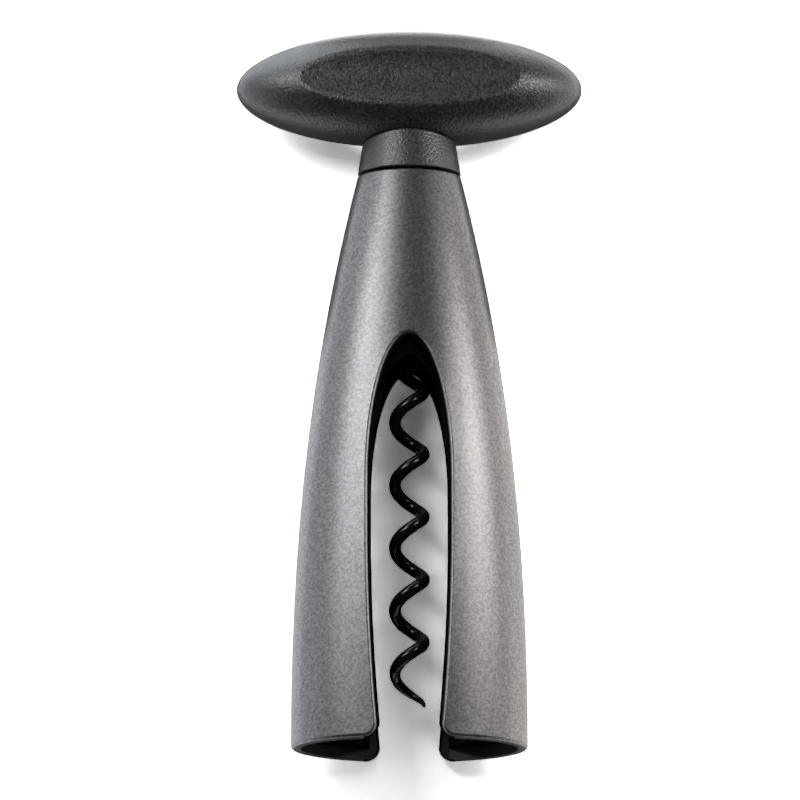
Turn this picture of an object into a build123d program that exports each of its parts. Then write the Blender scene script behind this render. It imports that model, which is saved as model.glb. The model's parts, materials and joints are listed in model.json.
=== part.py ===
"""Self-pulling corkscrew: an oval body with a see-through slot, and a T-handle that turns a steel worm.

Millimetres, +Z up, origin at the middle of the base rim. The handle lies along X and the slot faces Y.
"""

import math
import os

from build123d import *

# Body shell: an oval tube that narrows upwards to a closed crown
BODY_HEIGHT = 155.2
BASE_WIDTH = 61.5
BASE_DEPTH = 28.4
NECK_WIDTH = 27.1
NECK_DEPTH = 17.6
WIDTH_TAPER = 2.22
DEPTH_TAPER = 2.2
STATION_PITCH = 26.0
WALL = 2.6
CROWN = 9.2
EDGE_ROUND = 0.8
SEAM_ROUND = 0.4

# Slot through the front and back walls
SLOT_WIDTH = 21.5
SLOT_FOOT_WIDTH = 16.1
SLOT_BRIDGE = 45.8
SLOT_ARCH = 39.4
SLOT_STRAIGHT = 12.0
SLOT_CORNER = 3.4

# Room for the bottle's neck and the cork
BOTTLE_RADIUS = 14.8
BOTTLE_RELIEF = 0.2
GUIDE_LENGTH = 7.8
LIP_SEAT = 42.0
CORK_WIDTH = 26.0

# Black liner inside the shell
LINER_RECESS = 3.0
LINER_ROOF = 8.0
LINER_SKIN = 1.5
LINER_LIP = 0.75
LINER_ARCH_DROP = 5.3
CHEEK = 2.0
RIB = 1.6
POCKET_ABOVE_SEAT = 32.0

# Screws that hold the liner up against the shell's bosses
SCREW_SPREAD = 9.8
SCREW_RADIUS = 1.2
SCREW_LENGTH = 16.0
SCREW_HEAD_RADIUS = 2.6
SCREW_HEAD_HEIGHT = 2.0
SCREW_HEAD_ROUND = 0.6
SCREW_SLOT = 0.8
SCREW_CLEARANCE = 0.3
BOSS_RADIUS = 2.9
BOSS_LENGTH = 18.0

# Swivelling bush in the crown, its clip and the thrust washer
SHAFT_RADIUS = 3.5
BUSH_RADIUS = 5.45
BUSH_TAIL = 2.5
BUSH_FLANGE_RADIUS = 7.4
BUSH_FLANGE = 1.1
BUSH_PROUD = 0.1
CLIP_THICKNESS = 0.9
CLIP_RADIUS = 6.3
CLIP_GROOVE = 0.7
CLIP_MOUTH = 5.0
WASHER_THICKNESS = 0.65
WASHER_RADIUS = 8.0

# Worm: a round wire wound to the right, drawn out to a point
WORM_RADIUS = 3.75
WIRE_RADIUS = 1.6
WORM_PITCH = 17.0
WORM_TIP = 11.7
TAPER_TURNS = 0.75
TAPER_STEPS = 6
TIP_RADIUS = 0.5

# Hub that ties the worm to the drive shaft, and stops the lift
LIFT = 31.5
HUB_RADIUS = 6.0
HUB_LENGTH = 8.0
HUB_CLEARANCE = 0.6
HUB_SOCKET = 5.45
SPIGOT_RADIUS = 1.9
HUB_PIN_RADIUS = 0.8
HUB_PIN_BELOW_TOP = 1.6
HUB_PIN_INSET = 0.3

# Neck collar and handle
COLLAR_TOP_WIDTH = 24.4
COLLAR_TOP_DEPTH = 17.6
COLLAR_HEIGHT = 8.75
COLLAR_ROUND = 0.5
HANDLE_LENGTH = 90.8
HANDLE_RADIUS = 15.3
HANDLE_WALL = 2.6
DISH_FLOOR = 11.8
DISH_RADIUS = 20.7
DISH_ROUND = 2.5
CORE_RADIUS = 6.9
CORE_BAR_LENGTH = 56.0
CORE_BAR_HEIGHT = 13.0
CORE_BAR_DEPTH = 12.0
CORE_ROUND = 2.0
SHAFT_ABOVE_PIN = 7.0
SHAFT_PIN_RADIUS = 1.5
HANDLE_RIB = 2.4
HANDLE_RIB_SPREAD = 19.0
PEG_SPREAD = 33.0
PEG_RADIUS = 2.0
PEG_WALL = 2.0
PEG_LENGTH = 3.5

# Clearances
RUNNING = 0.05
FIXED_FIT = 0.02
SEAT_FIT = 0.15
OVERCUT = 2.0
ON_SURFACE = 0.01

# Heights, worked down from the crown and up from the base
CROWN_BOTTOM = BODY_HEIGHT - CROWN
SLOT_TOP = BODY_HEIGHT - SLOT_BRIDGE
SLOT_SPRING = SLOT_TOP - SLOT_ARCH
SLOT_STRAIGHT_FROM = SLOT_SPRING - SLOT_STRAIGHT
LINER_TOP = CROWN_BOTTOM - BOSS_LENGTH
LINER_CEILING = LINER_TOP - LINER_ROOF
POCKET_TOP = LIP_SEAT + POCKET_ABOVE_SEAT
BUSH_BOTTOM = CROWN_BOTTOM - BUSH_TAIL
HUB_TOP = BUSH_BOTTOM - LIFT
HUB_BOTTOM = HUB_TOP - HUB_LENGTH
HUB_PIN_HEIGHT = HUB_TOP - HUB_PIN_BELOW_TOP
WORM_TURNS = (HUB_BOTTOM + HUB_SOCKET - WORM_TIP) / WORM_PITCH
CLIP_GROOVE_TOP = CROWN_BOTTOM - RUNNING
WASHER_BOTTOM = BODY_HEIGHT + BUSH_PROUD
WASHER_TOP = WASHER_BOTTOM + WASHER_THICKNESS
COLLAR_BOTTOM = WASHER_TOP + RUNNING
HANDLE_HALF = HANDLE_LENGTH / 2
HANDLE_HEIGHT = COLLAR_BOTTOM + COLLAR_HEIGHT + HANDLE_RADIUS * math.sqrt(
    1 - (COLLAR_TOP_WIDTH / HANDLE_LENGTH) ** 2
)
LINER_INSET = WALL + SEAT_FIT


def half_width(height):
    """Outer half width of the body at a height."""
    share = max(height, 0) / BODY_HEIGHT
    return BASE_WIDTH / 2 - (BASE_WIDTH - NECK_WIDTH) / 2 * share**WIDTH_TAPER


def half_depth(height):
    """Outer half depth of the body at a height."""
    share = max(height, 0) / BODY_HEIGHT
    return BASE_DEPTH / 2 - (BASE_DEPTH - NECK_DEPTH) / 2 * share**DEPTH_TAPER


def body_form(bottom, top, inset):
    """The body's oval form between two heights, drawn in from its outside by an inset."""
    steps = max(2, round((top - bottom) / STATION_PITCH))
    heights = [bottom + (top - bottom) * i / steps for i in range(steps + 1)]
    return loft([Pos(0, 0, z) * Ellipse(half_width(z) - inset, half_depth(z) - inset) for z in heights])


def rod(radius, bottom, top, x=0):
    """A round bar that stands along Z."""
    return Pos(x, 0, bottom) * Cylinder(radius, top - bottom, align=(Align.CENTER, Align.CENTER, Align.MIN))


def cross_rod(radius, length, height):
    """A round bar that lies along X through the axis."""
    return Pos(0, 0, height) * Rot(0, 90, 0) * Cylinder(radius, length)


def through_rod(radius, length, height, x=0):
    """A round bar that lies along Y."""
    return Pos(x, 0, height) * Rot(90, 0, 0) * Cylinder(radius, length)


def slot_form(narrower, lower):
    """The slot right through the body: rounded feet, bowed sides and an elliptical arch."""
    half = SLOT_WIDTH / 2 - narrower
    foot = SLOT_FOOT_WIDTH / 2 - narrower
    top = SLOT_TOP - lower
    bow = half - foot
    bow_radius = (SLOT_STRAIGHT_FROM**2 + bow**2) / (2 * bow)
    corner_height = (
        SLOT_CORNER * (1 + SLOT_STRAIGHT_FROM / bow_radius) / (1 + SLOT_CORNER / bow_radius)
    )
    lean = math.asin((SLOT_STRAIGHT_FROM - corner_height) / bow_radius)
    corner = (half - bow_radius * (1 - math.cos(lean)), corner_height)
    toe = (corner[0] + SLOT_CORNER * math.cos(lean), 0)
    side = (
        Line((half, SLOT_SPRING), (half, SLOT_STRAIGHT_FROM))
        + TangentArc((half, SLOT_STRAIGHT_FROM), corner, tangent=(0, -1))
        + TangentArc(corner, toe, tangent=(-math.sin(lean), -math.cos(lean)))
        + Line(toe, (toe[0], -OVERCUT))
        + Line((toe[0], -OVERCUT), (0, -OVERCUT))
    )
    arch = EllipticalCenterArc((0, SLOT_SPRING), half, top - SLOT_SPRING, arc_size=180)
    outline = make_face(arch + side + mirror(side, Plane.YZ))
    return extrude(Plane.XZ * outline, BASE_DEPTH, both=True)


def screw_spots():
    """Where the two liner screws stand."""
    return [-SCREW_SPREAD, SCREW_SPREAD]


def bottle_space(radius, bottom):
    """The round space that the bottle's neck takes up, from a height to the seat of its lip."""
    return rod(radius, bottom, LIP_SEAT)


def is_outer_rim(edge):
    """Whether an edge runs round the slot or the base on the body's outside."""
    middle = edge.position_at(0.5)
    off = (middle.X / half_width(middle.Z)) ** 2 + (middle.Y / half_depth(middle.Z)) ** 2 - 1
    seam = abs(middle.Y) < RUNNING and middle.Z > RUNNING
    return abs(off) < ON_SURFACE and middle.Z < CROWN_BOTTOM and not seam


def make_body_shell():
    shell = body_form(0, BODY_HEIGHT, 0) - body_form(-OVERCUT, CROWN_BOTTOM, WALL) - slot_form(0, 0)
    shell = fillet(shell.edges().filter_by(is_outer_rim), EDGE_ROUND)
    shell = fillet(shell.edges().group_by(Axis.Z)[-1], SEAM_ROUND)
    shell -= bottle_space(BOTTLE_RADIUS + BOTTLE_RELIEF, -OVERCUT)
    for x in screw_spots():
        shell += rod(BOSS_RADIUS, LINER_TOP + SEAT_FIT, CROWN_BOTTOM + OVERCUT, x)
    for x in screw_spots():
        tip = LINER_CEILING + SCREW_LENGTH
        shell -= rod(SCREW_RADIUS + FIXED_FIT, LINER_TOP, tip + SEAT_FIT, x)
    shell -= rod(BUSH_RADIUS + RUNNING, LINER_TOP, BODY_HEIGHT + OVERCUT)
    shell -= rod(
        BUSH_FLANGE_RADIUS + RUNNING, WASHER_BOTTOM - BUSH_FLANGE - RUNNING, BODY_HEIGHT + OVERCUT
    )
    return shell


def make_inner_liner():
    liner = body_form(LINER_RECESS, LINER_TOP, LINER_INSET)
    # the cork's chamber, with flat cheeks and a skin at front and back
    chamber = body_form(LIP_SEAT, LINER_CEILING, LINER_INSET + LINER_SKIN)
    chamber &= Pos(0, 0, LIP_SEAT) * Box(
        CORK_WIDTH, BASE_DEPTH, BODY_HEIGHT, align=(Align.CENTER, Align.CENTER, Align.MIN)
    )
    liner -= chamber
    # the bottle's guide, a short land with relief above it
    liner -= bottle_space(BOTTLE_RADIUS, 0)
    liner -= bottle_space(BOTTLE_RADIUS + BOTTLE_RELIEF, LINER_RECESS + GUIDE_LENGTH)
    liner -= slot_form(LINER_LIP, LINER_ARCH_DROP)
    # pockets between the cheeks and the outer skin, open at the foot, with a rib between each pair
    pockets = body_form(0, POCKET_TOP, LINER_INSET + LINER_SKIN)
    pockets -= Box(2 * (BOTTLE_RADIUS + BOTTLE_RELIEF + CHEEK), BASE_DEPTH, 2 * BODY_HEIGHT)
    pockets -= Box(BASE_WIDTH, RIB, 2 * BODY_HEIGHT)
    liner -= pockets
    liner -= rod(HUB_RADIUS + HUB_CLEARANCE, LINER_CEILING - OVERCUT, LINER_TOP + OVERCUT)
    for x in screw_spots():
        liner -= rod(SCREW_RADIUS + SCREW_CLEARANCE, LINER_CEILING - OVERCUT, LINER_TOP + OVERCUT, x)
    return liner


def make_liner_screws():
    screws = []
    for x in screw_spots():
        head_bottom = LINER_CEILING - SCREW_HEAD_HEIGHT
        screw = rod(SCREW_RADIUS, LINER_CEILING - RUNNING, LINER_CEILING + SCREW_LENGTH, x)
        head = rod(SCREW_HEAD_RADIUS, head_bottom, LINER_CEILING, x)
        head = fillet(head.edges().group_by(Axis.Z)[0], SCREW_HEAD_ROUND)
        head -= Pos(x, 0, head_bottom) * Box(SCREW_SLOT, 2 * SCREW_HEAD_RADIUS, SCREW_HEAD_HEIGHT)
        screws.append(screw + head)
    return screws


def make_guide_bush():
    bush = rod(BUSH_RADIUS, BUSH_BOTTOM, WASHER_BOTTOM)
    bush += rod(BUSH_FLANGE_RADIUS, WASHER_BOTTOM - BUSH_FLANGE, WASHER_BOTTOM)
    groove = rod(BUSH_RADIUS + OVERCUT, CLIP_GROOVE_TOP - CLIP_THICKNESS - RUNNING, CLIP_GROOVE_TOP)
    groove -= rod(BUSH_RADIUS - CLIP_GROOVE, BUSH_BOTTOM, BODY_HEIGHT)
    return bush - groove - rod(SHAFT_RADIUS + RUNNING, BUSH_BOTTOM - OVERCUT, BODY_HEIGHT + OVERCUT)


def make_bush_clip():
    top = CLIP_GROOVE_TOP - RUNNING / 2
    clip = rod(CLIP_RADIUS, top - CLIP_THICKNESS, top)
    clip -= rod(BUSH_RADIUS - CLIP_GROOVE + FIXED_FIT, BUSH_BOTTOM, BODY_HEIGHT)
    mouth = Pos(0, CLIP_RADIUS, top) * Box(CLIP_MOUTH, 2 * CLIP_RADIUS, 2 * CROWN)
    return clip - mouth


def make_thrust_washer():
    washer = rod(WASHER_RADIUS, WASHER_BOTTOM, WASHER_TOP)
    return washer - rod(SHAFT_RADIUS + RUNNING, BODY_HEIGHT - OVERCUT, WASHER_TOP + OVERCUT)


def worm_point(turn):
    """Point on the worm's centre line, counted in turns up from its tip."""
    angle = 2 * math.pi * turn
    return Vector(
        WORM_RADIUS * math.cos(angle), WORM_RADIUS * math.sin(angle), WORM_TIP + WORM_PITCH * turn
    )


def worm_heading(turn):
    """Direction of the worm's centre line at that point."""
    angle = 2 * math.pi * turn
    rise = WORM_PITCH / (2 * math.pi)
    return Vector(-WORM_RADIUS * math.sin(angle), WORM_RADIUS * math.cos(angle), rise).normalized()


def quarter_turn(first, last):
    """Two tangent arcs that follow the helix between two counts of turns."""
    start, end = worm_point(first), worm_point(last)
    leave, arrive = worm_heading(first), worm_heading(last)
    chord = end - start
    along = chord.dot(leave + arrive)
    spread = 1 - leave.dot(arrive)
    reach = (math.sqrt(along**2 + 2 * spread * chord.dot(chord)) - along) / (2 * spread)
    joint = (start + end + (leave - arrive) * reach) * 0.5
    crossing = (end - arrive * reach) - (start + leave * reach)
    return [Edge.make_tangent_arc(start, leave, joint), Edge.make_tangent_arc(joint, crossing, end)]


def wire_section(turn, radius):
    """A round section of the wire, square to the helix."""
    return Plane(origin=worm_point(turn), z_dir=worm_heading(turn)) * Circle(radius)


def worm_marks():
    """Counts of turns, about a quarter apart, from the end of the taper to the worm's top."""
    wound = WORM_TURNS - TAPER_TURNS
    quarters = round(wound * 4)
    return [TAPER_TURNS + wound * i / quarters for i in range(quarters + 1)]


def wound_wire(marks, radius):
    """Wire of one thickness along the helix, through the given counts of turns."""
    arcs = [arc for a, b in zip(marks, marks[1:]) for arc in quarter_turn(a, b)]
    path = Wire(arcs)
    return sweep(wire_section(marks[0], radius), path=path), path.length


def make_worm():
    wire, length = wound_wire(worm_marks(), WIRE_RADIUS)
    print("worm: volume over section times length", wire.volume / (math.pi * WIRE_RADIUS**2 * length))
    climb = WORM_PITCH * WORM_RADIUS * 2 * math.pi / math.hypot(WORM_PITCH, 2 * math.pi * WORM_RADIUS)
    print("worm: gap between turns", climb - 2 * WIRE_RADIUS)
    shares = [i / TAPER_STEPS for i in range(TAPER_STEPS + 1)]
    drawn_out = loft(
        [
            wire_section(TAPER_TURNS * s, TIP_RADIUS + (WIRE_RADIUS - TIP_RADIUS) * math.sin(math.pi / 2 * s))
            for s in shares
        ]
    )
    point = Pos(worm_point(0)) * Sphere(TIP_RADIUS)
    return wire + drawn_out + point


def make_worm_hub():
    hub = rod(HUB_RADIUS, HUB_BOTTOM, HUB_TOP)
    hub = fillet(hub.edges().group_by(Axis.Z)[0], EDGE_ROUND)
    # the socket follows the same arcs as the worm, from its top end to below the hub
    quarters = 1 + math.ceil(4 * HUB_SOCKET / WORM_PITCH)
    socket, _ = wound_wire(worm_marks()[-1 - quarters :], WIRE_RADIUS + FIXED_FIT)
    hub -= socket
    hub -= rod(SPIGOT_RADIUS + FIXED_FIT, HUB_BOTTOM - OVERCUT, HUB_TOP + OVERCUT)
    return hub - cross_rod(HUB_PIN_RADIUS + FIXED_FIT, 2 * (HUB_RADIUS + OVERCUT), HUB_PIN_HEIGHT)


def make_hub_pin():
    return cross_rod(HUB_PIN_RADIUS, 2 * (HUB_RADIUS - HUB_PIN_INSET), HUB_PIN_HEIGHT)


def make_drive_shaft():
    shaft = rod(SHAFT_RADIUS, HUB_TOP + FIXED_FIT, HANDLE_HEIGHT + SHAFT_ABOVE_PIN)
    shaft = chamfer(shaft.edges().group_by(Axis.Z)[-1], EDGE_ROUND)
    shaft += rod(SPIGOT_RADIUS, HUB_BOTTOM, HUB_TOP + OVERCUT)
    shaft -= cross_rod(HUB_PIN_RADIUS + FIXED_FIT, 2 * (HUB_RADIUS + OVERCUT), HUB_PIN_HEIGHT)
    return shaft - through_rod(SHAFT_PIN_RADIUS + FIXED_FIT, CORE_BAR_DEPTH + OVERCUT, HANDLE_HEIGHT)


def make_shaft_pin():
    return through_rod(SHAFT_PIN_RADIUS, CORE_BAR_DEPTH, HANDLE_HEIGHT)


def egg(inset):
    """The handle's long round form, drawn in by an inset."""
    half_outline = make_face(
        EllipticalCenterArc((0, 0), HANDLE_HALF - inset, HANDLE_RADIUS - inset, arc_size=180)
        + Line((-HANDLE_HALF + inset, 0), (HANDLE_HALF - inset, 0))
    )
    return Pos(0, 0, HANDLE_HEIGHT) * revolve(half_outline, Axis.X)


def dishes(inset):
    """Two long cylinders whose sides scoop the thumb dishes out of the handle's front and back."""
    reach = DISH_FLOOR + DISH_RADIUS
    bar = Rot(0, 90, 0) * Cylinder(DISH_RADIUS + inset, 2 * HANDLE_LENGTH)
    return [Pos(0, side * reach, HANDLE_HEIGHT) * bar for side in (-1, 1)]


def is_dish_rim(edge):
    """Whether an edge runs round a dish, where the scoop meets the egg."""
    point = edge.position_at(0.5)
    rise = point.Z - HANDLE_HEIGHT
    off_axis = math.hypot(abs(point.Y) - DISH_FLOOR - DISH_RADIUS, rise)
    return abs(off_axis / DISH_RADIUS - 1) < ON_SURFACE


def core_bar(margin):
    """The cross bar that carries the handle's turning force."""
    bar = Box(CORE_BAR_LENGTH + 2 * margin, CORE_BAR_DEPTH + 2 * margin, CORE_BAR_HEIGHT + 2 * margin)
    return Pos(0, 0, HANDLE_HEIGHT) * fillet(bar.edges().filter_by(Axis.X), CORE_ROUND)


def make_handle_core():
    core = core_bar(0) + rod(CORE_RADIUS, COLLAR_BOTTOM + SEAT_FIT, HANDLE_HEIGHT)
    core -= rod(SHAFT_RADIUS + FIXED_FIT, 0, HANDLE_HEIGHT + SHAFT_ABOVE_PIN + FIXED_FIT)
    return core - through_rod(SHAFT_PIN_RADIUS + FIXED_FIT, CORE_BAR_DEPTH + OVERCUT, HANDLE_HEIGHT)


def make_neck_collar():
    top = HANDLE_HEIGHT
    share = (top - COLLAR_BOTTOM) / COLLAR_HEIGHT
    top_width = NECK_WIDTH + (COLLAR_TOP_WIDTH - NECK_WIDTH) * share
    top_depth = NECK_DEPTH + (COLLAR_TOP_DEPTH - NECK_DEPTH) * share
    collar = loft(
        [
            Pos(0, 0, COLLAR_BOTTOM) * Ellipse(NECK_WIDTH / 2, NECK_DEPTH / 2),
            Pos(0, 0, top) * Ellipse(top_width / 2, top_depth / 2),
        ]
    )
    collar -= egg(-SEAT_FIT)
    collar = fillet(collar.edges().group_by(Axis.Z)[-1], COLLAR_ROUND)
    collar = fillet(collar.edges().group_by(Axis.Z)[0], SEAM_ROUND)
    return collar - rod(CORE_RADIUS + SEAT_FIT, 0, HANDLE_HEIGHT)


def make_handle_half(side):
    """Front (-1) or rear (+1) half of the handle: a dished shell with ribs that hold the core's bar."""
    hollow = egg(HANDLE_WALL)
    outside = egg(0)
    for scoop, inner_scoop in zip(dishes(0), dishes(HANDLE_WALL)):
        outside -= scoop
        hollow -= inner_scoop
    outside = fillet(outside.edges().filter_by(is_dish_rim), DISH_ROUND)
    for x in (-HANDLE_RIB_SPREAD, HANDLE_RIB_SPREAD):
        hollow -= Pos(x, 0, HANDLE_HEIGHT) * Box(HANDLE_RIB, 2 * HANDLE_RADIUS, 2 * HANDLE_RADIUS)
    for x in (-PEG_SPREAD, PEG_SPREAD):
        hollow -= through_rod(PEG_RADIUS + PEG_WALL, 2 * HANDLE_RADIUS, HANDLE_HEIGHT, x)
    half = outside - hollow - core_bar(SEAT_FIT) - rod(CORE_RADIUS + SEAT_FIT, 0, HANDLE_HEIGHT)
    half &= Pos(0, side * (HANDLE_RADIUS + FIXED_FIT), HANDLE_HEIGHT) * Box(
        HANDLE_LENGTH, 2 * HANDLE_RADIUS, 2 * HANDLE_RADIUS
    )
    for x in (-PEG_SPREAD, PEG_SPREAD):
        if side > 0:
            half += through_rod(PEG_RADIUS, 2 * PEG_LENGTH, HANDLE_HEIGHT, x)
        else:
            half -= through_rod(PEG_RADIUS + SEAT_FIT, 2 * (PEG_LENGTH + SEAT_FIT), HANDLE_HEIGHT, x)
    return half


def main():
    pieces = {
        "body_shell": make_body_shell(),
        "inner_liner": make_inner_liner(),
        "liner_screws": Compound(make_liner_screws()),
        "guide_bush": make_guide_bush(),
        "bush_clip": make_bush_clip(),
        "thrust_washer": make_thrust_washer(),
        "drive_shaft": make_drive_shaft(),
        "worm": make_worm(),
        "worm_hub": make_worm_hub(),
        "hub_pin": make_hub_pin(),
        "neck_collar": make_neck_collar(),
        "handle_core": make_handle_core(),
        "shaft_pin": make_shaft_pin(),
        "handle_front": make_handle_half(-1),
        "handle_rear": make_handle_half(1),
    }
    os.makedirs("parts", exist_ok=True)
    for name, piece in pieces.items():
        export_step(piece, f"parts/{name}.step")


if __name__ == "__main__":
    main()
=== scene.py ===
"""Looks of the self-pulling corkscrew: its finishes, and a plain studio round the fixed frame.

Metres, +Z up along the worm, +X along the handle. The front of the slot faces -Y.
"""

import json
import math
from typing import NamedTuple

import bmesh
import bpy
from mathutils import Matrix, Vector


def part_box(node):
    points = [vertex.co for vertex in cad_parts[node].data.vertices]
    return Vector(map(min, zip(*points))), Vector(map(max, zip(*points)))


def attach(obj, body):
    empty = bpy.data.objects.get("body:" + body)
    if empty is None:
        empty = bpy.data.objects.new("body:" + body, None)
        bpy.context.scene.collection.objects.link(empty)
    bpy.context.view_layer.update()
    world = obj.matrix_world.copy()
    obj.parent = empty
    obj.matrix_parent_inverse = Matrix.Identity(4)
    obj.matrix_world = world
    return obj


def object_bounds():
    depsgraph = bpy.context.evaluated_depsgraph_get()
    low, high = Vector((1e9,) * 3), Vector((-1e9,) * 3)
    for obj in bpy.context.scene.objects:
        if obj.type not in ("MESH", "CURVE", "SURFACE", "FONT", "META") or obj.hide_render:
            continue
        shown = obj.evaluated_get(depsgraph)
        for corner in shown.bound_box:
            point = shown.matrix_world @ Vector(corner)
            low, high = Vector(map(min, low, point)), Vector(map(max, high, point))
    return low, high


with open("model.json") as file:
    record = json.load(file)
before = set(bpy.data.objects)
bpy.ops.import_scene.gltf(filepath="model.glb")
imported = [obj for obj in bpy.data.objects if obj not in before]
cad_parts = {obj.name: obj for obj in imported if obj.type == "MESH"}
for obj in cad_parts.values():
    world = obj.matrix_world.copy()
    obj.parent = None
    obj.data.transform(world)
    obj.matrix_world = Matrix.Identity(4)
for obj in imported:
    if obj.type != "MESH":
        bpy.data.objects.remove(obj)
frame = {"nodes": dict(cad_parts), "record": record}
cad_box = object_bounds()

bl_info = {
    "name": "Corkscrew Looks",
    "version": (1, 0, 0),
    "blender": (4, 5, 0),
    "location": "View3D > Sidebar > Corkscrew",
    "description": "Dresses the corkscrew's solids in their finishes and sets a studio round them",
    "category": "Object",
}

MM = 0.001
PICTURE_WIDTH = 800


def slot_colour(slot):
    """The record's own colour for one of its material slots."""
    for material in frame["record"]["materials"]:
        if material["slot"] == slot:
            return tuple(material["base_color"])
    raise ValueError(f"the record has no material slot named {slot}")


# Oval body: its half sizes at the base and the neck, and how fast they draw in on the way up
BODY_LOW, BODY_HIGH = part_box("body_shell")
BODY_HEIGHT = BODY_HIGH.z - BODY_LOW.z
BASE_HALF_WIDTH = BODY_HIGH.x
BASE_HALF_DEPTH = 14.2 * MM
NECK_HALF_WIDTH = 13.55 * MM
NECK_HALF_DEPTH = 8.8 * MM
WIDTH_TAPER = 2.22
DEPTH_TAPER = 2.2
WALL_SEEN = 2.5 * MM

# Round space for the bottle's neck, up to the seat of its lip
NECK_SPACE = 15.05 * MM
NECK_GUIDE = 14.8 * MM
LIP_SEAT = 42.05 * MM

# Slot: rounded feet, bowed sides, then straight ones, then an elliptical arch
SLOT_HALF = 10.75 * MM
SLOT_FOOT_HALF = 8.05 * MM
SLOT_STRAIGHT_FROM = 58 * MM
SLOT_SPRING = 70 * MM
SLOT_TOP = 109.4 * MM
SLOT_CORNER = 3.4 * MM

# Noise values at which a grain is at its deepest and its highest
GRAIN_HOLLOW = 0.3
GRAIN_CREST = 0.7

# Paint and skin: size of their clouds, how the roughness follows the texture, and what the flakes cover
PAINT_CLOUD = 12 * MM
SKIN_CLOUD = 9 * MM
CLOUD_ROUGH = 0.04
GRAIN_ROUGH = 0.12
INSIDE_ROUGHER = 0.15
HOLLOW_SMOOTHER = 0.075
CREST_ROUGHER = 0.045
PAINT_METAL = 0.92
SPECK_SHARE = 0.6
FLAKE_COVER = 0.35

# Turned metal: marks in rings round Z, the casts of zinc, and painted shade that blackens the shaft's end
# and darkens the hub
TURNING_MARKS = (0.05, 0.05, 1)
YELLOW_CAST = (1, 0.98, 0.9)
BLUE_CAST = (0.92, 0.97, 1)
PAINTED_SHADE_BLACK = (0.004, 0.004, 0.004)
PAINTED_SHADE_END = 1 * MM
PAINTED_SHADE_EDGE = 0.5 * MM
HUB_PAINTED_SHADE = 0.2


class Oval(NamedTuple):
    """An oval on the floor, on the worm's axis: the height of its middle and its half sizes."""

    middle: float
    half_width: float
    half_height: float


# Floor: its gap behind the turning handle, its painted shade in reflections close under the object, and what
# is shown of it
FLOOR_HALF = 2.0
HANDLE_GAP = Oval(200 * MM, 34 * MM, 37 * MM)
PAINTED_SHADE_UNDER_HANDLE = Oval(165 * MM, 80 * MM, 55 * MM)
PAINTED_SHADE_BODY_FROM = 28 * MM
PAINTED_SHADE_BODY_TO = 36 * MM
FLOOR_SHOWN = Oval(97 * MM, 180 * MM, 180 * MM)

# Tints of the surroundings, cool from the window on the left and warm on the right, and how they meet
COOL = (0.86, 0.91, 0.96)
WARM = (0.93, 0.9, 0.87)
FLOOR_BLEND = 40 * MM
WORLD_BLEND = 0.4
WORLD_GAIN = 1.1

# Dark cards: half sizes of the one in front, where it stands, and how far back the one below it reaches
FLAG_HALF_WIDTH = 2.12
FLAG_HALF_HEIGHT = 2.64
FLAG_FORWARD = 1.5
FLAG_MIDDLE = 0.99
FLAG_BACK = 3.0
FLAG_CLOTH = (0.01, 0.01, 0.01, 1)

# Camera: width of its sensor in millimetres, and how far it sees in metres
SENSOR_WIDTH = 36
FARTHEST_SEEN = 20


class BodyLook(bpy.types.PropertyGroup):
    """Paint of the body shell."""

    colour: bpy.props.FloatVectorProperty(
        name="Paint",
        description="Colour of the charcoal paint",
        subtype="COLOR",
        size=3,
        min=0,
        max=1,
        default=(0.19, 0.187, 0.188),
    )
    flake: bpy.props.FloatVectorProperty(
        name="Flake",
        description="Colour of the metal flakes in the paint",
        subtype="COLOR",
        size=3,
        min=0,
        max=1,
        default=(0.42, 0.41, 0.40),
    )
    grain: bpy.props.FloatProperty(
        name="Grain",
        description="Size of one grain of the paint's texture",
        unit="LENGTH",
        min=0.0001,
        max=0.005,
        default=0.00075,
    )
    # the contrast also sets how strong the grain's painted shade and painted highlight are
    contrast: bpy.props.FloatProperty(
        name="Contrast",
        description="How much lighter and darker than the paint its grains are",
        subtype="FACTOR",
        min=0,
        max=1,
        default=0.25,
    )
    inside: bpy.props.FloatVectorProperty(
        name="Inside",
        description="Colour of the shell's unpainted inside",
        subtype="COLOR",
        size=3,
        min=0,
        max=1,
        default=(0.005, 0.005, 0.0053),
    )
    roughness: bpy.props.FloatProperty(
        name="Roughness",
        description="Roughness of the paint between the grains",
        subtype="FACTOR",
        min=0,
        max=1,
        default=0.32,
    )


class HandleLook(bpy.types.PropertyGroup):
    """Skin of the handle and the neck collar."""

    colour: bpy.props.FloatVectorProperty(
        name="Skin",
        description="Colour of the dark textured skin",
        subtype="COLOR",
        size=3,
        min=0,
        max=1,
        default=(0.013, 0.0128, 0.0133),
    )
    grain: bpy.props.FloatProperty(
        name="Grain",
        description="Size of one grain of the skin's texture",
        unit="LENGTH",
        min=0.0001,
        max=0.005,
        default=0.00068,
    )
    # the contrast also sets how strong the grain's painted shade and painted highlight are
    contrast: bpy.props.FloatProperty(
        name="Contrast",
        description="How much lighter and darker than the skin its grains are",
        subtype="FACTOR",
        min=0,
        max=1,
        default=0.7,
    )
    gloss: bpy.props.FloatProperty(
        name="Gloss",
        description="How strongly the skin mirrors the light",
        subtype="FACTOR",
        min=0,
        max=1,
        default=0.84,
    )
    roughness: bpy.props.FloatProperty(
        name="Roughness",
        description="Roughness of the skin",
        subtype="FACTOR",
        min=0,
        max=1,
        default=0.36,
    )


class WormLook(bpy.types.PropertyGroup):
    """Coating of the worm and black of the lining."""

    colour: bpy.props.FloatVectorProperty(
        name="Coating",
        description="Colour of the worm's non-stick coating",
        subtype="COLOR",
        size=3,
        min=0,
        max=1,
        default=(0.004, 0.004, 0.0045),
    )
    lining: bpy.props.FloatVectorProperty(
        name="Lining",
        description="Colour of the black lining inside the body",
        subtype="COLOR",
        size=3,
        min=0,
        max=1,
        default=(0.001, 0.001, 0.0011),
    )


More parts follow.
